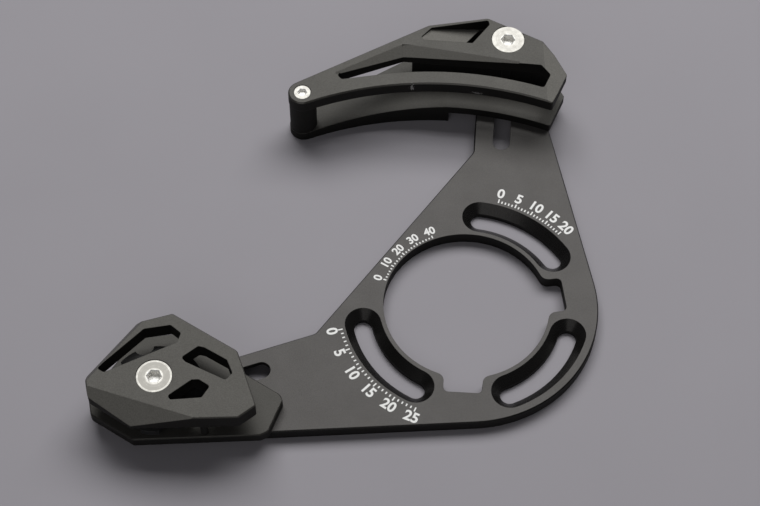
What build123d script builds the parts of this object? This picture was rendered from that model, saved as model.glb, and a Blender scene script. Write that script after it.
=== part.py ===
from build123d import *
import os
from math import atan2, cos, degrees, hypot, radians, sin, sqrt

os.makedirs("parts", exist_ok=True)

# Frame: origin on the bottom bracket axis at the back face of the plate, +Z away from the bicycle,
# +Y along the slot of the upper guide, all lengths in millimetres

# Mounting plate
plate_thickness = 5.0
bolt_circle_radius = 36.5
arc_slot_width = 6.4
arc_slot_countersink = 12.65
arc_slot_sweep_angle = 48.6
arc_slot_angles = (61.2, -38.9, 221.0)
rim_wall = 2.8
bore_wall = 1.425
edge_break = 0.4
notch_angles = (11.4, -88.9)
notch_depth = 5.55
notch_width = 13.2
notch_corner = 1.8
notch_mouth = 3.0
right_edge_normal_angle = 15.58
bottom_edge_normal_angle = -82.48
neck_left = -0.9
neck_corner_height = 64.2
neck_end_margin = 0.8
elbow = (-50.9, -15.5)
elbow_round = 3.0
arm_top_angle = 23.59
arm_end_margin = 9.6
arm_end_round = 6.0

# Adjusting slots, the nuts behind them and the pegs that keep the guides straight
bolt_radius = 3.0
running_clearance = 0.1
thread_clearance = 0.02
upper_bolt_at = (9.0, 103.2)
upper_slot_length = 35.4
upper_slot_spare = 1.4
lower_slot_run = 71.3
lower_slot_rise = 23.5
lower_slot_angle = 203.4
lower_slot_length = 37.3
lower_slot_spare = 1.4
nut_across = 10.0
nut_thickness = 2.8
nut_recess = 0.2
nut_side_clearance = 0.15
track_end_room = 1.5
peg_offset = 6.8
peg_depth = 1.8

# Both guides stand equally high on the plate
stack_height = 17.6

# Fasteners
head_radius = 5.95
head_sink = 0.2
socket_across = 4.0
socket_depth = 2.4
socket_lead = 0.4
bolt_end_recess = 0.4
screw_radius = 1.5
screw_head_radius = 3.0
screw_length = 12.0
screw_socket_across = 2.5
screw_socket_depth = 1.2
screw_end_room = 1.0
insert_wall = 0.8
insert_length = 8.0
sleeve_wall = 1.0

# Upper guide, seen from above with its bolt at (0, 0)
cheek_thickness = 3.5
outer_cheek_thickness = 4.8
cheek_break = 0.5
guide_arc_radius = 117.3
guide_arc_top = (-18.25, -22.1)
guide_foot_x = 17.2
guide_foot_round = 0.8
guide_tip_x = -72.8
guide_tip_radius = 5.1
guide_back = [(-29.4, 4.4, 2.0), (-7.8, 9.5, 2.5), (12.7, 0.4, 1.5), (17.2, -5.7, 2.0), (22.0, -13.9, 0.6)]
pillar_radius = 4.9
flare_start = -21.0
flare_slope = 0.0925
skirt_end = -20.0
skirt_wall = 2.6
floor_thickness = 2.4
roof_wall = [(-34.6, -8.0), (15.6, -9.9), (16.4, -6.9), (-33.6, -4.9)]
back_wall_ends = (-19.0, -5.0)
back_wall_thickness = 1.8
boss_radius = 7.0
web_thickness = 3.0
guide_band = 5.4
window_left = [(-59.2, 6.5), (-61.4, 9.5)]
window_back = [(-37.8, -9.8), (-35.4, -9.8), (12.5, -10.8), (16.1, -14.8)]
window_right_x = 13.9
window_turn_x = -48.0
window_round = 1.1
bevel_depth = 2.0
bevel_left_crease = [(-61.6, -19.9), (-38.6, -5.5)]
bevel_right_crease = [(-35.4, -5.3), (4.5, -9.8)]
bevel_margin = 1.4
end_facet = [(12.7, 0.4), (15.4, -27.2)]
end_facet_depth = 1.0
vent = [(-31.8, -1.4), (-28.3, 3.1), (-7.6, 8.2), (-7.1, 6.2), (-12.9, -2.8), (-30.8, -2.6)]
vent_round = 0.7
vent_step = 0.35
vent_slope = 0.21
vent_slit_width = 4.2

# Lower guide, seen from above with its bolt at (0, 0)
inner_plate_thickness = 4.0
outer_plate_thickness = 6.2
plate_break = 0.4
outer_left = [(-5.85, -16.65, 0.8), (-20.85, -8.55, 2.0), (-22.65, -1.95, 4.0), (-8.75, 19.65, 1.0)]
guide_peak = (2.85, 24.05, 0.8)
inner_left = [(-5.95, -17.2, 0.8), (-21.3, -9.0, 2.0), (-23.2, -1.95, 4.0), (-10.2, 21.1, 1.0)]
outer_right = [(26.15, 11.65, 3.0), (34.55, -8.15, 1.0), (29.25, -12.95, 0.6)]
inner_right = [(40.75, 3.55, 3.0), (41.75, 1.25, 1.0), (38.15, -10.55, 2.0), (35.75, -12.05, 1.0)]
bevel_crease = [(-22.15, -5.15), (13.75, -13.85)]
bevel_drop = 4.7
left_chamfer = 1.5
lower_windows = [
    [(-19.25, 1.35), (-5.85, 17.3), (2.85, 19.5), (6.7, 16.7), (5.85, 13.05), (-16.65, 0.05)],
    [(7.95, 7.55), (13.05, 12.25), (15.25, 11.85), (23.15, 7.85), (25.55, 3.05), (23.55, 0.35), (9.55, 6.05)],
    [(5.35, -6.95), (12.4, -0.4), (14.85, -0.1), (18.75, -2.3), (16.55, -6.65), (6.45, -8.25)],
]
lower_window_round = 0.9
post_at = (17.35, -12.35)
post_radius = 1.25

# Pulley and its sealed bearing
pulley_teeth = 8
tooth_tip_radius = 16.0
tooth_seat_radius = 3.4
tooth_pitch_radius = 16.8
tooth_thickness = 2.3
hub_wall = 2.6
hub_clearance = 0.9
bearing_inset = 0.3
race_wall = 1.2
race_gap = 1.1
ball_row_height = 2.0
ball_row_clearance = 0.05
shield_thickness = 0.4
shield_inset = 0.1
shield_clearance = 0.1

# Longer than any side of the part, for cutting planes and for cuts that pass right through
far = 600.0

# Levels and places that follow from the sizes above
plate_top = plate_thickness
guide_top = plate_top + stack_height
head_level = guide_top - head_sink
upper_floor = plate_top + cheek_thickness
upper_ceiling = guide_top - outer_cheek_thickness
lower_floor = plate_top + inner_plate_thickness
lower_ceiling = guide_top - outer_plate_thickness
pulley_middle = (lower_floor + lower_ceiling) / 2
hub_thickness = lower_ceiling - lower_floor - 2 * hub_clearance
bearing_width = hub_thickness - 2 * bearing_inset
bolt_hole_radius = bolt_radius + running_clearance
track_depth = nut_thickness + nut_recess
bore_radius = bolt_circle_radius - arc_slot_countersink / 2 - bore_wall
rim_radius = bolt_circle_radius + arc_slot_countersink / 2 + rim_wall


def polar(radius, angle):
    return (radius * cos(radians(angle)), radius * sin(radians(angle)))


def shift(point, distance, angle):
    step = polar(distance, angle)
    return (point[0] + step[0], point[1] + step[1])


def meet(point_a, angle_a, point_b, angle_b):
    ax, ay = polar(1, angle_a)
    bx, by = polar(1, angle_b)
    dx, dy = point_b[0] - point_a[0], point_b[1] - point_a[1]
    reach = (dx * by - dy * bx) / (ax * by - ay * bx)
    return (point_a[0] + reach * ax, point_a[1] + reach * ay)


def polygon(*points):
    return make_face(Polyline(*points, close=True))


def round_corners(face, corners):
    for x, y, radius in corners:
        corner = face.vertices().sort_by_distance((x, y, 0))[0]
        face = fillet(corner, radius)
    return face


def rounded_polygon(corners):
    face = polygon(*[(x, y) for x, y, radius in corners])
    return round_corners(face, corners)


def prism(face, low, high):
    return extrude(Pos(0, 0, low) * face, amount=high - low)


def through(face):
    return prism(face, -far, far)


def tube(outer, inner, low, high):
    return prism(Circle(outer) - Circle(inner), low, high)


def above(point_a, point_b, point_c):
    a, b, c = Vector(*point_a), Vector(*point_b), Vector(*point_c)
    normal = (b - a).cross(c - a)
    if normal.Z < 0:
        normal = normal * -1
    return Plane(origin=a, z_dir=normal) * Pos(0, 0, far / 2) * Box(2 * far, 2 * far, far)


def left_of(x):
    return Pos(x - far / 2, 0) * Rectangle(far, 2 * far)


def rim_edges(solid, level):
    faces = [face for face in solid.faces() if abs(face.center().Z - level) < 1e-4]
    face = max(faces, key=lambda item: item.area)
    return face.outer_wire().edges()


def sunk_screw(radius, head, across, depth, top, bottom):
    cone = head - radius
    body = Pos(0, 0, top - cone / 2) * Cone(radius, head, cone)
    shank = prism(Circle(radius), bottom, top - cone)
    corner = across / sqrt(3)
    key_face = RegularPolygon(corner, 6)
    mouth_face = RegularPolygon(corner + socket_lead, 6)
    lead = loft([Pos(0, 0, top - socket_lead) * key_face, Pos(0, 0, top) * mouth_face])
    return body + shank - prism(key_face, top - depth, top + depth) - lead


def sunk_hole(radius, head, top):
    cone = head - radius
    return Pos(0, 0, top - cone / 2) * Cone(radius, head, cone) + through(Circle(radius))


def save(solid, name):
    export_step(solid, "parts/" + name + ".step")


# Plate outline: a round side about the bore, a neck up to the upper guide and an arm out to the lower one
right_touch = polar(rim_radius, right_edge_normal_angle)
bottom_touch = polar(rim_radius, bottom_edge_normal_angle)
normal_x, normal_y = polar(1, right_edge_normal_angle)
neck_end_height = upper_bolt_at[1] + neck_end_margin
neck_end_x = (rim_radius - normal_y * neck_end_height + neck_left) / (1 + normal_x)
neck_end_radius = neck_end_x - neck_left
neck_right = shift((neck_end_x, neck_end_height), neck_end_radius, right_edge_normal_angle)
slot_foot = shift(bottom_touch, lower_slot_run, bottom_edge_normal_angle - 90)
lower_slot_end = shift(slot_foot, lower_slot_rise, bottom_edge_normal_angle + 180)
lower_bolt_at = shift(lower_slot_end, lower_slot_length - lower_slot_spare, lower_slot_angle)
arm_end = shift(lower_slot_end, lower_slot_length + arm_end_margin, lower_slot_angle)
arm_end_top = meet(arm_end, lower_slot_angle + 90, elbow, arm_top_angle)
arm_end_bottom = meet(arm_end, lower_slot_angle + 90, bottom_touch, bottom_edge_normal_angle + 90)
plate_line = Polyline(
    right_touch,
    neck_right,
    (neck_left, neck_end_height),
    (neck_left, neck_corner_height),
    elbow,
    arm_end_top,
    arm_end_bottom,
    bottom_touch,
)
rim_middle = polar(rim_radius, (right_edge_normal_angle + bottom_edge_normal_angle) / 2)
plate_face = make_face([plate_line, ThreePointArc(bottom_touch, rim_middle, right_touch)])
plate_face = plate_face + Pos(neck_end_x, neck_end_height) * Circle(neck_end_radius)
plate_face = round_corners(
    plate_face,
    [
        (*elbow, elbow_round),
        (neck_left, neck_corner_height, elbow_round),
        (*arm_end_top, arm_end_round),
        (*arm_end_bottom, arm_end_round),
    ],
)
backplate = prism(plate_face, 0, plate_top)
backplate = chamfer(rim_edges(backplate, plate_top) + rim_edges(backplate, 0), edge_break)

# Bore with its two notches
notch_reach = bore_radius + notch_depth
bore_face = Circle(bore_radius)
for angle in notch_angles:
    bore_face = bore_face + Rot(0, 0, angle) * Pos(notch_reach / 2, 0) * Rectangle(notch_reach, notch_width)
deep_corners = [v for v in bore_face.vertices() if hypot(v.X, v.Y) > bore_radius + notch_depth / 2]
bore_face = fillet(deep_corners, notch_corner)
mouth_corners = [v for v in bore_face.vertices() if abs(hypot(v.X, v.Y) - bore_radius) < 0.01]
bore_face = fillet(mouth_corners, notch_mouth)
backplate = backplate - through(bore_face)

# Countersunk arc slots for the mounting screws
for middle in arc_slot_angles:
    path = CenterArc((0, 0), bolt_circle_radius, middle - arc_slot_sweep_angle / 2, arc_slot_sweep_angle)
    backplate = backplate - through(SlotArc(path, arc_slot_width))
top_face = max(
    [face for face in backplate.faces() if abs(face.center().Z - plate_top) < 1e-4],
    key=lambda item: item.area,
)
bore_length = max(wire.length for wire in top_face.inner_wires())
slot_edges = [e for wire in top_face.inner_wires() if wire.length < bore_length for e in wire.edges()]
backplate = chamfer(slot_edges, (arc_slot_countersink - arc_slot_width) / 2)


# Straight slots, each with a track behind it that keeps a square nut from turning
def slot_pair(length, spare):
    middle = Pos(spare - length / 2, 0)
    track_length = length + nut_across + 2 * track_end_room
    track_width = nut_across + 2 * nut_side_clearance
    track = middle * Rectangle(track_length, track_width)
    slot = middle * SlotCenterToCenter(length, 2 * bolt_hole_radius)
    return through(slot) + prism(track, -far, track_depth)


upper_place = Pos(*upper_bolt_at)
lower_place = Pos(*lower_bolt_at)
upper_slot_place = upper_place * Rot(0, 0, 90)
lower_slot_place = lower_place * Rot(0, 0, lower_slot_angle)
backplate = backplate - upper_slot_place * slot_pair(upper_slot_length, upper_slot_spare)
backplate = backplate - lower_slot_place * slot_pair(lower_slot_length, lower_slot_spare)
save(backplate, "backplate")

# Nuts, guide bolts and the pegs that run in the slots
nut_face = Rectangle(nut_across, nut_across) - Circle(bolt_radius + thread_clearance)
slot_nut = prism(nut_face, nut_recess, track_depth)
save(upper_slot_place * slot_nut, "upper_slot_nut")
save(lower_slot_place * slot_nut, "lower_slot_nut")
guide_bolt = sunk_screw(bolt_radius, head_radius, socket_across, socket_depth, head_level, bolt_end_recess)
save(upper_place * guide_bolt, "upper_guide_bolt")
save(lower_place * guide_bolt, "lower_guide_bolt")
bolt_hole = sunk_hole(bolt_hole_radius, head_radius + head_sink, guide_top)
peg = prism(Pos(-peg_offset, 0) * Circle(bolt_radius), plate_top - peg_depth, plate_top)

# Outline shared by both cheeks of the upper guide
guide_arc_centre = (guide_arc_top[0], guide_arc_top[1] - guide_arc_radius)


def arc_height(radius, x):
    return guide_arc_centre[1] + sqrt(radius**2 - (x - guide_arc_centre[0]) ** 2)


foot = (guide_foot_x, arc_height(guide_arc_radius, guide_foot_x))
guide_tip = (guide_tip_x, arc_height(guide_arc_radius + guide_tip_radius, guide_tip_x))
shoulder = guide_back[0]
tip_angle = degrees(atan2(guide_tip[1] - guide_arc_centre[1], guide_tip[0] - guide_arc_centre[0]))
tip_low = shift(guide_arc_centre, guide_arc_radius, tip_angle)
back_angle = degrees(atan2(shoulder[1] - guide_tip[1], shoulder[0] - guide_tip[0]))
shoulder_distance = hypot(shoulder[1] - guide_tip[1], shoulder[0] - guide_tip[0])
tip_lift = degrees(atan2(guide_tip_radius, sqrt(shoulder_distance**2 - guide_tip_radius**2)))
tip_high_angle = back_angle - tip_lift + 90
tip_high = shift(guide_tip, guide_tip_radius, tip_high_angle)
tip_left = shift(guide_tip, guide_tip_radius, (tip_high_angle + tip_angle + 180) / 2)
back_points = [(x, y) for x, y, radius in guide_back]
cheek_face = make_face(
    [
        ThreePointArc(foot, guide_arc_top, tip_low),
        ThreePointArc(tip_low, tip_left, tip_high),
        Polyline(tip_high, *back_points, foot),
    ]
)
cheek_face = round_corners(cheek_face, guide_back + [(*foot, guide_foot_round)])
tip_place = upper_place * Pos(*guide_tip)

# Inner cheek: on the plate, with a flared entry, a hollow skirt beside the plate, two walls and a pillar
flare_run = flare_start - guide_tip_x
flare = above(
    (flare_start, 0, upper_floor),
    (flare_start, flare_run, upper_floor),
    (guide_tip_x, 0, upper_floor - flare_run * flare_slope),
)
skirt_face = cheek_face & left_of(skirt_end)
hollow_face = offset(cheek_face, -skirt_wall) & left_of(skirt_end - skirt_wall)
inner_cheek = prism(cheek_face, plate_top, upper_floor) + prism(skirt_face, 0, upper_floor)
inner_cheek = inner_cheek - (flare & through(left_of(flare_start)))
hollow_roof = Pos(0, 0, -floor_thickness) * flare
inner_cheek = inner_cheek - (prism(hollow_face, -far, upper_floor - floor_thickness) - hollow_roof)
web_reach = -roof_wall[1][1]
web_face = Pos(0, -web_reach / 2) * Rectangle(web_thickness, web_reach)
back_start, back_end = back_wall_ends
back_room = polygon((back_start, 0), (back_end, 0), (back_end, far), (back_start, far))
back_face = (cheek_face - offset(cheek_face, -back_wall_thickness)) & back_room
for upright in (polygon(*roof_wall), Circle(boss_radius) & cheek_face, web_face, back_face):
    inner_cheek = inner_cheek + prism(upright, plate_top, upper_ceiling)
inner_cheek = inner_cheek + prism(Pos(*guide_tip) * Circle(pillar_radius), 0, upper_ceiling)
inner_cheek = inner_cheek + Rot(0, 0, 90) * peg
sleeve_radius = bolt_hole_radius + sleeve_wall
insert_radius = screw_radius + insert_wall
insert_low = upper_ceiling - insert_length
screw_low = head_level - screw_length
inner_cheek = inner_cheek - prism(Circle(sleeve_radius), plate_top, upper_ceiling)
screw_room = prism(Circle(screw_radius + running_clearance), screw_low - screw_end_room, upper_ceiling)
pillar_bore = screw_room + prism(Circle(insert_radius), insert_low, upper_ceiling)
inner_cheek = inner_cheek - Pos(*guide_tip) * pillar_bore
save(upper_place * inner_cheek, "upper_inner_cheek")
save(upper_place * tube(sleeve_radius, bolt_hole_radius, plate_top, upper_ceiling), "upper_sleeve")
pillar_insert = tube(insert_radius, screw_radius + thread_clearance, insert_low, upper_ceiling)
save(tip_place * pillar_insert, "pillar_insert")
pillar_screw = sunk_screw(
    screw_radius, screw_head_radius, screw_socket_across, screw_socket_depth, head_level, screw_low
)
save(tip_place * pillar_screw, "pillar_screw")

# Outer cheek: the same outline with a long window
window_radius = guide_arc_radius + guide_band
window_right = (window_right_x, arc_height(window_radius, window_right_x))
window_turn = (window_turn_x, arc_height(window_radius, window_turn_x))
window_top = (guide_arc_top[0], guide_arc_top[1] + guide_band)
window_start = [(x, arc_height(guide_arc_radius, x) + height) for x, height in window_left]
window_face = make_face(
    [
        ThreePointArc(window_right, window_top, window_turn),
        Polyline(window_turn, *window_start, *window_back, window_right),
    ]
)
window_corners = [*window_start, *window_back[2:], window_right]
window_face = round_corners(window_face, [(x, y, window_round) for x, y in window_corners])
outer_cheek = prism(cheek_face, upper_ceiling, guide_top)
outer_cheek = chamfer(rim_edges(outer_cheek, guide_top), cheek_break)

# Facets that slope from two creases down to the window's back edge
bend = window_back[0]
bevel_bottom = (*bend, guide_top - bevel_depth)
left_column = polygon(*bevel_left_crease, bend, window_start[1])
right_end = bevel_right_crease[1]
right_column = polygon(
    bevel_left_crease[1],
    *bevel_right_crease,
    (right_end[0], right_end[1] - bevel_margin),
    (bend[0], bend[1] - bevel_margin),
)
for crease, column in ((bevel_left_crease, left_column), (bevel_right_crease, right_column)):
    slope = above((*crease[0], guide_top), (*crease[1], guide_top), bevel_bottom)
    outer_cheek = outer_cheek - (through(column) & slope)
outer_cheek = outer_cheek - through(window_face)
outer_cheek = outer_cheek - above(
    (*end_facet[0], guide_top),
    (*end_facet[1], guide_top),
    (*back_points[-1], guide_top - end_facet_depth),
)

# Vent: a small step, then a ramp that deepens to the right and opens into a slit
vent_face = rounded_polygon([(x, y, vent_round) for x, y in vent])
vent_start, vent_end = vent[0][0], vent[2][0]
vent_depth = vent_slope * (vent_end - vent_start)
vent_top = guide_top - vent_step
ramp = above(
    (vent_start, 0, vent_top),
    (vent_start, vent_depth, vent_top),
    (vent_end, 0, vent_top - vent_depth),
)
outer_cheek = outer_cheek - (through(vent_face) & ramp)
slit_left = [(x - vent_slit_width, y) for x, y in (vent[4], vent[3])]
outer_cheek = outer_cheek - through(vent_face & polygon(*vent[2:5], *slit_left))
outer_cheek = outer_cheek - bolt_hole
screw_hole = sunk_hole(screw_radius + running_clearance, screw_head_radius + head_sink, guide_top)
outer_cheek = outer_cheek - Pos(*guide_tip) * screw_hole
save(upper_place * outer_cheek, "upper_outer_cheek")

# Lower guide: two plates of nearly one outline, the inner one longer towards the bore
inner_plate = prism(rounded_polygon([guide_peak] + inner_right + inner_left), plate_top, lower_floor)
inner_plate = chamfer(rim_edges(inner_plate, lower_floor), plate_break)
inner_plate = inner_plate + Rot(0, 0, lower_slot_angle) * peg - through(Circle(bolt_hole_radius))
save(lower_place * inner_plate, "lower_inner_plate")

outer_plate = prism(rounded_polygon([guide_peak] + outer_right + outer_left), lower_ceiling, guide_top)
outer_plate = chamfer(rim_edges(outer_plate, guide_top), plate_break)
bevel_corner = outer_left[0][:2]
outer_plate = outer_plate - above(
    (*bevel_crease[0], guide_top),
    (*bevel_crease[1], guide_top),
    (*bevel_corner, guide_top - bevel_drop),
)
left_start, left_end = outer_left[2][:2], outer_left[3][:2]
left_angle = degrees(atan2(left_end[1] - left_start[1], left_end[0] - left_start[0]))
outer_plate = outer_plate - above(
    (*left_start, guide_top - left_chamfer),
    (*left_end, guide_top - left_chamfer),
    (*shift(left_start, left_chamfer, left_angle - 90), guide_top),
)
for corners in lower_windows:
    outer_plate = outer_plate - through(rounded_polygon([(x, y, lower_window_round) for x, y in corners]))
outer_plate = outer_plate - bolt_hole
save(lower_place * outer_plate, "lower_outer_plate")
post = prism(Pos(*post_at) * Circle(post_radius), lower_floor, lower_ceiling)
save(lower_place * post, "lower_post")

# Sealed bearing on the lower bolt: two races, the row of balls as one ring, and a shield on each side
bearing_low = pulley_middle - bearing_width / 2
bearing_high = pulley_middle + bearing_width / 2
inner_race_radius = bolt_hole_radius + race_wall
outer_race_inside = inner_race_radius + race_gap
bearing_radius = outer_race_inside + race_wall
inner_race = tube(inner_race_radius, bolt_hole_radius, bearing_low, bearing_high)
outer_race = tube(bearing_radius, outer_race_inside, bearing_low, bearing_high)
save(lower_place * inner_race, "bearing_inner_race")
save(lower_place * outer_race, "bearing_outer_race")
ball_row = tube(
    outer_race_inside - ball_row_clearance,
    inner_race_radius + ball_row_clearance,
    pulley_middle - ball_row_height / 2,
    pulley_middle + ball_row_height / 2,
)
save(lower_place * ball_row, "bearing_ball_row")
shield = tube(outer_race_inside, inner_race_radius + shield_clearance, 0, shield_thickness)
inner_shield = Pos(0, 0, bearing_low + shield_inset) * shield
outer_shield = Pos(0, 0, bearing_high - shield_inset - shield_thickness) * shield
save(lower_place * inner_shield, "bearing_shield_inner")
save(lower_place * outer_shield, "bearing_shield_outer")
inner_spacer = tube(inner_race_radius, bolt_hole_radius, lower_floor, bearing_low)
outer_spacer = tube(inner_race_radius, bolt_hole_radius, bearing_high, lower_ceiling)
save(lower_place * inner_spacer, "pulley_spacer_inner")
save(lower_place * outer_spacer, "pulley_spacer_outer")

# Toothed pulley
wheel_face = Circle(tooth_tip_radius)
for place in PolarLocations(tooth_pitch_radius, pulley_teeth, 90 + 180 / pulley_teeth):
    wheel_face = wheel_face - place * Circle(tooth_seat_radius)
hub_face = Circle(bearing_radius + hub_wall)
wheel = prism(wheel_face, pulley_middle - tooth_thickness / 2, pulley_middle + tooth_thickness / 2)
wheel = wheel + prism(hub_face, pulley_middle - hub_thickness / 2, pulley_middle + hub_thickness / 2)
wheel = wheel - through(Circle(bearing_radius))
save(lower_place * wheel, "pulley_wheel")
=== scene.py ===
import math

import bmesh
import bpy
from mathutils import Matrix, Vector


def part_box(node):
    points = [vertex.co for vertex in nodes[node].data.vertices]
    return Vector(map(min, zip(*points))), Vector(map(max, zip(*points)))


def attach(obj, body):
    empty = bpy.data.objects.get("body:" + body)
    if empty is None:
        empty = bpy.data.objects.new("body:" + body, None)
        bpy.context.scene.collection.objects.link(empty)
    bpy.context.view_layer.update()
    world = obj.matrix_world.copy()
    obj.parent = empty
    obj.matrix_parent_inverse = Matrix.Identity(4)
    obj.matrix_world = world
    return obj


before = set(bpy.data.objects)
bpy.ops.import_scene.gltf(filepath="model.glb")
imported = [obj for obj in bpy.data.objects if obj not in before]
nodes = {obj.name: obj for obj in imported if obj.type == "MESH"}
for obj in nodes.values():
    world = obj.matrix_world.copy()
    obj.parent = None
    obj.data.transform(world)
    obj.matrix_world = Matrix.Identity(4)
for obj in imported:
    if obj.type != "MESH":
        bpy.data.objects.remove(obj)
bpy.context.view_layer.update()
scene = bpy.context.scene
head_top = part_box("upper_guide_bolt")[1].z
plate_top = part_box("backplate")[1].z

MM = 0.001

# camera at the photograph's angle
CAMERA_PLACE = (-0.004375, -0.336209, 0.577636)
CAMERA_TURN = (31.8497, -0.0839, 4.4921)
CAMERA_LENS = 90.81
CAMERA_SENSOR = 36.0

# light from behind and above, with a weak fill from the front
KEY_PLACE = (0.05, 1.0, 1.44)
KEY_SIZE = (2.0, 1.0)
KEY_POWER = 34.5
FILL_PLACE = (-0.3, -1.3, 1.3)
FILL_SIZE = (1.4, 1.0)
FILL_POWER = 3.7
WORLD_COLOUR = (0.062, 0.062, 0.066, 1.0)

# floor, just below the part
FLOOR_COLOUR = (0.315, 0.302, 0.325, 1.0)
FLOOR_GAIN = 1.06
FLOOR_MOTTLE = 60.0 * MM
FLOOR_ROUGHNESS = 0.75
FLOOR_SPECULAR = 0.1
FLOOR_HALF = 2.5
FLOOR_DROP = 0.02 * MM

# axes of the bolts and the tip screw at rest
UPPER_BOLT = (9.0 * MM, 103.2 * MM)
LOWER_BOLT = (-100.739 * MM, -45.524 * MM)
TIP_SCREW = (-63.8 * MM, 73.37 * MM)

# noise: where its values mostly lie, and its finer octaves
NOISE_RANGE = (0.3, 0.7)
PLAIN_DETAIL = 2.0
PLAIN_ROUGHNESS = 0.5
FINE_DETAIL = 3.0
FINE_ROUGHNESS = 0.6

# sockets of the Mix node's colour mode
MIX_SHARE = 0
MIX_FIRST = 6
MIX_SECOND = 7
MIX_RESULT = 2

# softened edges: samples, and how far the rounded normal turns where the pale edge, part wear and part
# painted highlight, starts and is full
EDGE_SAMPLES = 6
EDGE_TURN = (0.99, 0.80)

# dark surfaces: how level a face lies where each look starts and is full, among them the painted shade
# of walls and cones and the painted light of facets and faces that lean right
CUT_LEVELS = (0.78, 0.95)
MOULD_LEVELS = (0.55, 0.86)
SLOPE_LEVELS = (0.45, 0.65)
FACET_LEVELS = (0.99, 0.93)
CONE_LEVELS = (0.90, 0.78)
LEAN_LEVELS = (0.93, 0.97)
LEAN_TURN = (0.02, 0.20)

# dark surfaces: painted-shade tones of walls and countersinks and painted-light tones of creases and
# facets, against a flat face
WALL_PAINTED_SHADE = 0.05
CONE_PAINTED_SHADE = 0.15
CREASE_LIGHT_TONE = 3.0
FACET_LIGHT_GAIN = 1.45
WALL_ROUGHNESS = 0.78
CONE_SHINE = 0.50

# dark surfaces: grain, mottling, pale edges that are part wear and part painted highlight, pale spots,
# and the reach of the painted crease light
GRAIN_SHINE = 0.04
GRAIN_STRENGTH = 0.25
GRAIN_HEIGHT = 0.06 * MM
MOTTLE_SIZE = 9.0 * MM
MOTTLE_SHINE = 0.02
WEAR_AND_HIGHLIGHT_RANGE = (0.35, 0.7)
WEAR_AND_HIGHLIGHT_SHARES = (0.1, 0.5)
WORN_AND_HIGHLIGHT_COLOUR = (0.10, 0.098, 0.093, 1.0)
PALE_SPOT_COLOUR = (0.75, 0.74, 0.71, 1.0)
PALE_SPOT_GRAIN = 0.5 * MM
PALE_SPOT_RAGS = 0.9
PALE_SPOT_EDGE = (0.9, 0.5)
CREASE_LIGHT_EDGE = (1.0, 0.8)

# plate, guides, pulley and seals
PLATE_TINT = (1.0, 0.965, 0.935, 1.0)
GUIDE_TINT = (1.0, 0.975, 0.91, 1.0)
PLAIN_TINT = (1.0, 1.0, 1.0, 1.0)
GUIDE_DARK = (0.0445, 0.0426, 0.0384, 1.0)
GUIDE_LIGHT = (0.0655, 0.0631, 0.0571, 1.0)
GUIDE_FINISH = {
    "grain": 0.45 * MM,
    "roughness": 0.58,
    "specular": 0.44,
    "tint": GUIDE_TINT,
    "edge": 0.35 * MM,
    "levels": MOULD_LEVELS,
}
# painted shade and light: a darker copy of the plastic for the inner parts in shade between the cheeks,
# a lighter copy for the lower outer plate
INNER_SHADE_TONE = 0.72
UPPER_TONE = 1.0
LOWER_LIGHT_TONE = 1.15

# pale spots and painted crease light on the upper outer cheek: centre, reach and strength, and the
# painted-light gain of faces that lean right
NEAR_WALL_PALE_SPOTS = (
    ((-24.67 * MM, 80.08 * MM, 20.4 * MM), (0.7 * MM, 2.0 * MM, 1.5 * MM), 0.5),
    ((-1.04 * MM, 80.81 * MM, 18.7 * MM), (1.6 * MM, 2.0 * MM, 0.6 * MM), 0.25),
)
CREASE_PAINTED_LIGHTS = (((-28.0 * MM, 97.8 * MM, 22.4 * MM), (2.6 * MM, 1.0 * MM, 0.8 * MM)),)
CHEEK_LEAN_LIGHT = 0.9

# bright metals: turning marks, stains, edges, painted light inside sockets, and the dull band round a
# socket
ENDLESS = 1.0e6
RING_PITCH = 0.25 * MM
RING_SHARE = 0.55
RING_STRENGTH = 0.2
RING_HEIGHT = 0.02 * MM
STAIN_SIZE = 1.6 * MM
STAIN_DETAIL = 4.0
STAIN_SHARE = 0.45
STEEL_EDGE = 0.15 * MM
STEEL_DULL = 0.08
STEEL_SHINE = 0.06
BOLT_SOCKET = 2.55 * MM
SCREW_SOCKET = 1.7 * MM
SOCKET_REACH = 15.0 * MM
SOCKET_EDGE = (1.05, 0.95)
SOCKET_LIGHT_COLOUR = (0.84, 0.83, 0.80, 1.0)
HEAD_BAND = (3.1 * MM, 5.3 * MM)
BAND_EDGE = 0.15 * MM
UPPER_BAND_TONE = 0.12
LOWER_BAND_TONE = 0.6

# bright metals: dark and light colour, roughness and, where it isn't full, how metallic
SILVER = ((0.43, 0.417, 0.38, 1.0), (0.65, 0.637, 0.595, 1.0), 0.55, 0.65)
DULL_SILVER = ((0.42, 0.407, 0.372, 1.0), (0.80, 0.785, 0.73, 1.0), 0.55, 0.65)
ALUMINIUM = ((0.6, 0.61, 0.62, 1.0), (0.75, 0.76, 0.77, 1.0), 0.4)
BRASS = ((0.52, 0.36, 0.13, 1.0), (0.68, 0.5, 0.22, 1.0), 0.35)
BEARING = ((0.5, 0.51, 0.53, 1.0), (0.66, 0.67, 0.69, 1.0), 0.25)

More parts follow.
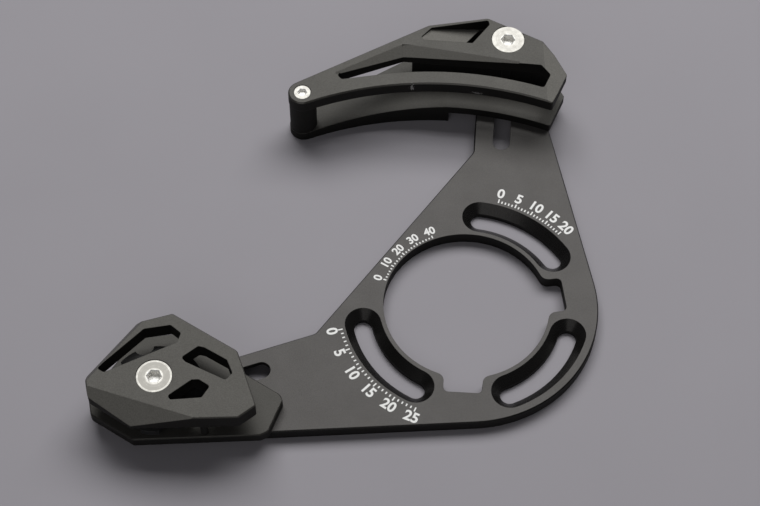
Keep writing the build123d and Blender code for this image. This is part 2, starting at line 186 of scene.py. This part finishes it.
# printed scales beside the slots, generic ticks and plain numbers
PRINT_DARK = (0.76, 0.76, 0.74, 1.0)
PRINT_LIGHT = (0.90, 0.90, 0.88, 1.0)
PRINT_GRAIN = 0.5 * MM
PRINT_ROUGHNESS = (0.55, 0.7)
PRINT_HEIGHT = 0.03 * MM
TICK_WIDTH = 0.5 * MM
SHORT_TICK = 0.6
TICKS_PER_FIGURE = 5
FIGURE_WEIGHT = 0.03
FIVES = ["0", "5", "10", "15", "20", "25"]
TENS = ["0", "10", "20", "30", "40"]
SLOT_SCALE = {
    "tick_radius": 43.8 * MM,
    "tick_reach": 1.6 * MM,
    "figure_radius": 47.7 * MM,
    "figure_size": 5.2 * MM,
}
BORE_SCALE = {
    "tick_radius": 29.3 * MM,
    "tick_reach": 1.1 * MM,
    "figure_radius": 32.3 * MM,
    "figure_size": 4.1 * MM,
}
TOP_ARC = (78.0, 45.5)
LEFT_ARC = (165.0, 117.0)
BOTTOM_ARC = (197.5, 250.5)


class Surface:
    """One node material, with short calls for the nodes that the surfaces share."""

    def __init__(self, name):
        self.material = bpy.data.materials.new(name)
        self.material.use_nodes = True
        self.tree = self.material.node_tree
        self.shader = self.tree.nodes["Principled BSDF"]
        self.place = self.add("ShaderNodeTexCoord").outputs["Object"]

    def add(self, kind, **settings):
        made = self.tree.nodes.new(kind)
        for name, value in settings.items():
            setattr(made, name, value)
        return made

    def feed(self, socket, source):
        if isinstance(source, bpy.types.NodeSocket):
            self.tree.links.new(source, socket)
        else:
            socket.default_value = source

    def fill(self, node, **values):
        """Feeds a node's inputs by name, with underscores for spaces."""
        for name, value in values.items():
            self.feed(node.inputs[name.replace("_", " ")], value)

    def set(self, **values):
        self.fill(self.shader, **values)

    def noise(self, size, detail=PLAIN_DETAIL, roughness=PLAIN_ROUGHNESS):
        made = self.add("ShaderNodeTexNoise")
        self.fill(made, Vector=self.place, Scale=1.0 / size, Detail=detail, Roughness=roughness)
        return made.outputs["Fac"]

    def spread(self, source, low, high, to_low, to_high):
        made = self.add("ShaderNodeMapRange")
        self.fill(made, Value=source, From_Min=low, From_Max=high, To_Min=to_low, To_Max=to_high)
        return made.outputs["Result"]

    def share(self, source, start, full):
        """From 0 where the source is at start to 1 where it is at full."""
        return self.spread(source, start, full, 0.0, 1.0)

    def between(self, share, low, high):
        """From low at a share of 0 to high at a share of 1."""
        return self.spread(share, 0.0, 1.0, low, high)

    def vary(self, noise, low, high):
        """From low to high over the range where noise mostly lies."""
        return self.spread(noise, *NOISE_RANGE, low, high)

    def calc(self, operation, *sources):
        made = self.add("ShaderNodeMath", operation=operation)
        for socket, source in zip(made.inputs, sources):
            self.feed(socket, source)
        return made.outputs["Value"]

    def vector(self, operation, *sources):
        made = self.add("ShaderNodeVectorMath", operation=operation)
        for socket, source in zip(made.inputs, sources):
            self.feed(socket, source)
        return made

    def mix(self, share, first, second):
        made = self.add("ShaderNodeMix", data_type="RGBA")
        self.feed(made.inputs[MIX_SHARE], share)
        self.feed(made.inputs[MIX_FIRST], first)
        self.feed(made.inputs[MIX_SECOND], second)
        return made.outputs[MIX_RESULT]

    def scaled(self, colour, gain):
        made = self.vector("SCALE", colour)
        self.fill(made, Scale=gain)
        return made.outputs["Vector"]

    def soft_edge(self, radius):
        made = self.add("ShaderNodeBevel", samples=EDGE_SAMPLES)
        self.fill(made, Radius=radius)
        return made.outputs["Normal"]

    def face_normal(self):
        return self.add("ShaderNodeNewGeometry").outputs["Normal"]

    def edge_share(self, rounded):
        """How near a point is to an edge, from 0 on a flat face to 1 on the edge."""
        turn = self.vector("DOT_PRODUCT", rounded, self.face_normal())
        return self.share(turn.outputs["Value"], *EDGE_TURN)

    def facing(self, axis):
        """How much a face looks along one axis, from -1 to 1."""
        parts = self.add("ShaderNodeSeparateXYZ")
        self.fill(parts, Vector=self.face_normal())
        return parts.outputs[axis]

    def level(self):
        """How level a face lies, from 0 on a wall to 1 on a flat top."""
        return self.calc("ABSOLUTE", self.facing("Z"))

    def distance(self, centre, reach):
        """How far a point lies from a centre, each axis measured in its own reach."""
        away = self.vector("SUBTRACT", self.place, centre).outputs["Vector"]
        measured = self.vector("DIVIDE", away, reach).outputs["Vector"]
        return self.vector("LENGTH", measured).outputs["Value"]

    def scuff(self, centre, reach, strength):
        """A small ragged pale mark round a point of the surface."""
        rags = self.vary(self.noise(PALE_SPOT_GRAIN), -PALE_SPOT_RAGS, PALE_SPOT_RAGS)
        ragged = self.calc("ADD", self.distance(centre, reach), rags)
        return self.spread(ragged, *PALE_SPOT_EDGE, 0.0, strength)

    def bump(self, height, strength, distance, normal):
        made = self.add("ShaderNodeBump")
        self.fill(made, Strength=strength, Distance=distance, Height=height, Normal=normal)
        return made.outputs["Normal"]


def brighter(colour, gain):
    return [gain * part for part in colour[:3]] + [1.0]


def black_surface(
    name, dark, light, grain, roughness, specular, tint, edge, levels, scuffs=(), lifts=(), lean=0.0
):
    """Dark matt surface: grained faces, walls and cones darkened with painted shade, facets, creases
    and right-leaning faces lightened with painted light, glossier cones, faint mottling, pale spots,
    and pale edges that are part wear and part painted highlight.
    """
    made = Surface(name)
    fine = made.noise(grain, FINE_DETAIL, FINE_ROUGHNESS)
    broad = made.noise(MOTTLE_SIZE, FINE_DETAIL)
    rounded = made.soft_edge(edge)
    level = made.level()
    flat = made.share(level, *levels)
    sloping = made.share(level, *SLOPE_LEVELS)
    # painted shade: upright walls and countersink cones get darker copies of the dark colour
    wall = made.mix(sloping, brighter(dark, WALL_PAINTED_SHADE), brighter(dark, CONE_PAINTED_SHADE))
    # painted light: near each crease point the upright faces are lightened where they would lie in
    # shade
    for lift in lifts:
        near = made.share(made.distance(*lift), *CREASE_LIGHT_EDGE)
        wall = made.mix(near, wall, brighter(dark, CREASE_LIGHT_TONE))
    grains = made.vary(fine, 0.0, 1.0)
    # painted light: faces tilted a little from level get a brighter copy of the face colour
    lit_facet = made.mix(grains, brighter(dark, FACET_LIGHT_GAIN), brighter(light, FACET_LIGHT_GAIN))
    face = made.mix(made.share(level, *FACET_LEVELS), made.mix(grains, dark, light), lit_facet)
    # painted light: faces that lean right are made brighter
    if lean:
        leaning = made.share(made.facing("X"), *LEAN_TURN)
        extra = made.calc("MULTIPLY", leaning, made.spread(level, *LEAN_LEVELS, 0.0, lean))
        face = made.scaled(face, made.calc("ADD", extra, 1.0))
    colour = made.mix(flat, wall, face)
    # pale edges: part wear, part painted highlight along rounded edges
    patchy = made.spread(broad, *WEAR_AND_HIGHLIGHT_RANGE, *WEAR_AND_HIGHLIGHT_SHARES)
    worn_and_highlight = made.calc("MULTIPLY", made.edge_share(rounded), patchy)
    colour = made.mix(worn_and_highlight, colour, WORN_AND_HIGHLIGHT_COLOUR)
    # small pale spots at given points
    for mark in scuffs:
        colour = made.mix(made.scuff(*mark), colour, PALE_SPOT_COLOUR)
    fine_shine = made.vary(fine, GRAIN_SHINE, -GRAIN_SHINE)
    broad_shine = made.vary(broad, -MOTTLE_SHINE, MOTTLE_SHINE)
    varied = made.calc("ADD", fine_shine, broad_shine)
    cone = made.calc("MULTIPLY", sloping, made.spread(level, *CONE_LEVELS, 0.0, CONE_SHINE))
    plain = made.calc("SUBTRACT", made.between(flat, WALL_ROUGHNESS, roughness), cone)
    made.set(Base_Color=colour, Roughness=made.calc("ADD", varied, plain))
    made.set(Specular_IOR_Level=specular, Specular_Tint=tint)
    made.set(Normal=made.bump(fine, GRAIN_STRENGTH, GRAIN_HEIGHT, rounded))
    return made


def guide_plastic(name, tone, **marks):
    """The guides' plastic, scaled by a tone: below 1 paints shade, above 1 paints light."""
    return black_surface(
        name, brighter(GUIDE_DARK, tone), brighter(GUIDE_LIGHT, tone), **GUIDE_FINISH, **marks
    )


def steel_surface(
    name, centre, dark, light, roughness, metallic=1.0, socket=None, band=None, band_tone=0.0
):
    """Bright metal with turning marks round an axis, faint stains, softened edges, and painted light
    inside a socket.
    """
    made = Surface(name)
    around = made.distance((*centre, 0.0), (1.0, 1.0, ENDLESS))
    rings = made.add("ShaderNodeTexNoise", noise_dimensions="1D")
    made.fill(rings, W=around, Scale=1.0 / RING_PITCH, Detail=FINE_DETAIL)
    turned = rings.outputs["Fac"]
    stain = made.noise(STAIN_SIZE, STAIN_DETAIL, FINE_ROUGHNESS)
    bright = made.calc("ADD", made.vary(turned, 0.0, RING_SHARE), made.vary(stain, 0.0, STAIN_SHARE))
    if band:
        start, end = band
        inner = made.share(around, start - BAND_EDGE, start + BAND_EDGE)
        outer = made.spread(around, end + BAND_EDGE, end - BAND_EDGE, 0.0, band_tone)
        bright = made.calc("SUBTRACT", bright, made.calc("MULTIPLY", inner, outer))
    colour = made.mix(bright, dark, light)
    # painted light: the inside of the socket is lightened where it would lie in shade
    if socket:
        inside = made.distance((*centre, head_top), (socket, socket, SOCKET_REACH))
        colour = made.mix(made.share(inside, *SOCKET_EDGE), colour, SOCKET_LIGHT_COLOUR)
    made.set(Base_Color=colour, Metallic=metallic)
    made.set(Roughness=made.between(bright, roughness + STEEL_DULL, roughness - STEEL_SHINE))
    made.set(Normal=made.bump(turned, RING_STRENGTH, RING_HEIGHT, made.soft_edge(STEEL_EDGE)))
    return made


# materials of the nodes
plate_metal = black_surface(
    "plate_metal",
    (0.040, 0.0379, 0.036, 1.0),
    (0.0735, 0.070, 0.0667, 1.0),
    grain=0.28 * MM,
    roughness=0.56,
    specular=0.45,
    tint=PLATE_TINT,
    edge=0.2 * MM,
    levels=CUT_LEVELS,
)
# painted light: a lighter copy for the lower outer plate
lit_outer_plastic = guide_plastic("guide_plastic_outer_lit", LOWER_LIGHT_TONE)
# upper outer cheek: pale spots, painted crease light and painted light on faces that lean right
spotted_lit_plastic = guide_plastic(
    "guide_plastic_spotted_lit", UPPER_TONE, scuffs=NEAR_WALL_PALE_SPOTS, lifts=CREASE_PAINTED_LIGHTS, lean=CHEEK_LEAN_LIGHT
)
# painted shade: a darker copy for the inner parts
shaded_inner_plastic = guide_plastic("guide_plastic_inner_shaded", INNER_SHADE_TONE)
pulley_plastic = black_surface(
    "pulley_plastic",
    (0.022, 0.022, 0.022, 1.0),
    (0.034, 0.034, 0.034, 1.0),
    grain=0.5 * MM,
    roughness=0.5,
    specular=0.5,
    tint=PLAIN_TINT,
    edge=0.3 * MM,
    levels=MOULD_LEVELS,
)
shield_rubber = black_surface(
    "shield_rubber",
    (0.016, 0.016, 0.017, 1.0),
    (0.03, 0.03, 0.031, 1.0),
    grain=0.3 * MM,
    roughness=0.65,
    specular=0.4,
    tint=PLAIN_TINT,
    edge=0.2 * MM,
    levels=MOULD_LEVELS,
)
upper_steel = steel_surface(
    "bright_steel_upper", UPPER_BOLT, *SILVER, BOLT_SOCKET, HEAD_BAND, UPPER_BAND_TONE
)
lower_steel = steel_surface(
    "bright_steel_lower", LOWER_BOLT, *DULL_SILVER, BOLT_SOCKET, HEAD_BAND, LOWER_BAND_TONE
)
tip_steel = steel_surface("bright_steel_tip", TIP_SCREW, *SILVER, SCREW_SOCKET)
sleeve_metal = steel_surface("bare_aluminium_upper", UPPER_BOLT, *ALUMINIUM)
spacer_metal = steel_surface("bare_aluminium_lower", LOWER_BOLT, *ALUMINIUM)
insert_brass = steel_surface("brass", TIP_SCREW, *BRASS)
bearing_steel = steel_surface("bearing_steel", LOWER_BOLT, *BEARING)

finishes = {
    "backplate": plate_metal,
    "upper_inner_cheek": shaded_inner_plastic,
    "upper_outer_cheek": spotted_lit_plastic,
    "upper_guide_bolt": upper_steel,
    "upper_slot_nut": upper_steel,
    "upper_sleeve": sleeve_metal,
    "pillar_screw": tip_steel,
    "pillar_insert": insert_brass,
    "lower_inner_plate": shaded_inner_plastic,
    "lower_outer_plate": lit_outer_plastic,
    "lower_guide_bolt": lower_steel,
    "lower_slot_nut": lower_steel,
    "lower_post": shaded_inner_plastic,
    "pulley_spacer_inner": spacer_metal,
    "pulley_spacer_outer": spacer_metal,
    "bearing_inner_race": bearing_steel,
    "pulley_wheel": pulley_plastic,
    "bearing_outer_race": bearing_steel,
    "bearing_ball_row": bearing_steel,
    "bearing_shield_inner": shield_rubber,
    "bearing_shield_outer": shield_rubber,
}
for name, finish in finishes.items():
    nodes[name].data.materials.clear()
    nodes[name].data.materials.append(finish.material)

print_white = Surface("print_white")
print_grain = print_white.noise(PRINT_GRAIN, FINE_DETAIL)
print_white.set(
    Base_Color=print_white.mix(print_grain, PRINT_DARK, PRINT_LIGHT),
    Roughness=print_white.vary(print_grain, *PRINT_ROUGHNESS),
)


def printed_figure(label, size):
    """Mesh of a plain number, centred on the origin, with its back on the XY plane."""
    curve = bpy.data.curves.new("figure", "FONT")
    curve.body = label
    curve.size = size
    curve.extrude = PRINT_HEIGHT / 2
    curve.offset = FIGURE_WEIGHT * size
    curve.align_x = "CENTER"
    curve.align_y = "CENTER"
    holder = bpy.data.objects.new("figure", curve)
    scene.collection.objects.link(holder)
    bpy.context.view_layer.update()
    shaped = holder.evaluated_get(bpy.context.evaluated_depsgraph_get())
    mesh = bpy.data.meshes.new_from_object(shaped)
    bpy.data.objects.remove(holder)
    mesh.transform(Matrix.Translation((0.0, 0.0, PRINT_HEIGHT / 2)))
    return mesh


def printed_tick(built, turn, ends):
    """Adds one tick to a mesh: a thin bar from one radius to another, with slanted flanks."""
    rings = []
    for height, half in ((0.0, TICK_WIDTH / 2), (PRINT_HEIGHT, TICK_WIDTH / 2 - PRINT_HEIGHT)):
        corners = ((ends[0], -half), (ends[1], -half), (ends[1], half), (ends[0], half))
        rings.append([built.verts.new(turn @ Vector((*corner, height))) for corner in corners])
    low, high = rings
    built.faces.new(high)
    built.faces.new(low[::-1])
    for index in range(len(low)):
        after = (index + 1) % len(low)
        built.faces.new((low[index], low[after], high[after], high[index]))


def arc_scale(name, arc, figures, top_outward, tick_radius, tick_reach, figure_radius, figure_size):
    """Arc of ticks about the bore with a number at each long tick, printed on the plate."""
    start, end = arc
    built = bmesh.new()
    last = len(figures) - 1
    steps = last * TICKS_PER_FIGURE
    for step in range(steps + 1):
        angle = math.radians(start + (end - start) * step / steps)
        turn = Matrix.Translation((0.0, 0.0, plate_top)) @ Matrix.Rotation(angle, 4, "Z")
        reach = tick_reach if step % TICKS_PER_FIGURE == 0 else SHORT_TICK * tick_reach
        printed_tick(built, turn, (tick_radius, tick_radius + reach))
    for index, label in enumerate(figures):
        angle = start + (end - start) * index / last
        facing = angle - 90.0 if top_outward else angle + 90.0
        mesh = printed_figure(label, figure_size)
        spot = Matrix.Rotation(math.radians(angle), 4, "Z") @ Vector((figure_radius, 0.0, plate_top))
        mesh.transform(Matrix.Translation(spot) @ Matrix.Rotation(math.radians(facing), 4, "Z"))
        built.from_mesh(mesh)
        bpy.data.meshes.remove(mesh)
    whole = bpy.data.meshes.new(name)
    built.to_mesh(whole)
    built.free()
    whole.materials.append(print_white.material)
    made = bpy.data.objects.new(name, whole)
    scene.collection.objects.link(made)
    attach(made, "plate")


arc_scale("scale_top", TOP_ARC, FIVES[:-1], True, **SLOT_SCALE)
arc_scale("scale_left", LEFT_ARC, TENS, True, **BORE_SCALE)
arc_scale("scale_bottom", BOTTOM_ARC, FIVES, False, **SLOT_SCALE)

# floor
floor_surface = Surface("floor")
floor_share = floor_surface.noise(FLOOR_MOTTLE, FINE_DETAIL)
floor_surface.set(
    Base_Color=floor_surface.mix(floor_share, FLOOR_COLOUR, brighter(FLOOR_COLOUR, FLOOR_GAIN)),
    Roughness=FLOOR_ROUGHNESS,
    Specular_IOR_Level=FLOOR_SPECULAR,
)
floor_mesh = bpy.data.meshes.new("floor")
corners = [(-1, -1), (1, -1), (1, 1), (-1, 1)]
floor_points = [(x * FLOOR_HALF, y * FLOOR_HALF, -FLOOR_DROP) for x, y in corners]
floor_mesh.from_pydata(floor_points, [], [(0, 1, 2, 3)])
floor_mesh.materials.append(floor_surface.material)
floor = bpy.data.objects.new("floor", floor_mesh)
scene.collection.objects.link(floor)


def soft_light(name, place, size, power):
    lamp = bpy.data.lights.new(name, "AREA")
    lamp.shape = "RECTANGLE"
    lamp.size, lamp.size_y = size
    lamp.energy = power
    made = bpy.data.objects.new(name, lamp)
    made.location = place
    made.rotation_euler = (-Vector(place)).to_track_quat("-Z", "Y").to_euler()
    scene.collection.objects.link(made)


# lights
soft_light("key_light", KEY_PLACE, KEY_SIZE, KEY_POWER)
soft_light("fill_light", FILL_PLACE, FILL_SIZE, FILL_POWER)
world = bpy.data.worlds.new("studio")
world.use_nodes = True
world.node_tree.nodes["Background"].inputs["Color"].default_value = WORLD_COLOUR
scene.world = world

# camera
camera = bpy.data.objects.new("camera", bpy.data.cameras.new("camera"))
camera.data.lens = CAMERA_LENS
camera.data.sensor_width = CAMERA_SENSOR
camera.location = CAMERA_PLACE
camera.rotation_euler = [math.radians(angle) for angle in CAMERA_TURN]
scene.collection.objects.link(camera)
scene.camera = camera
scene.view_settings.view_transform = "Standard"
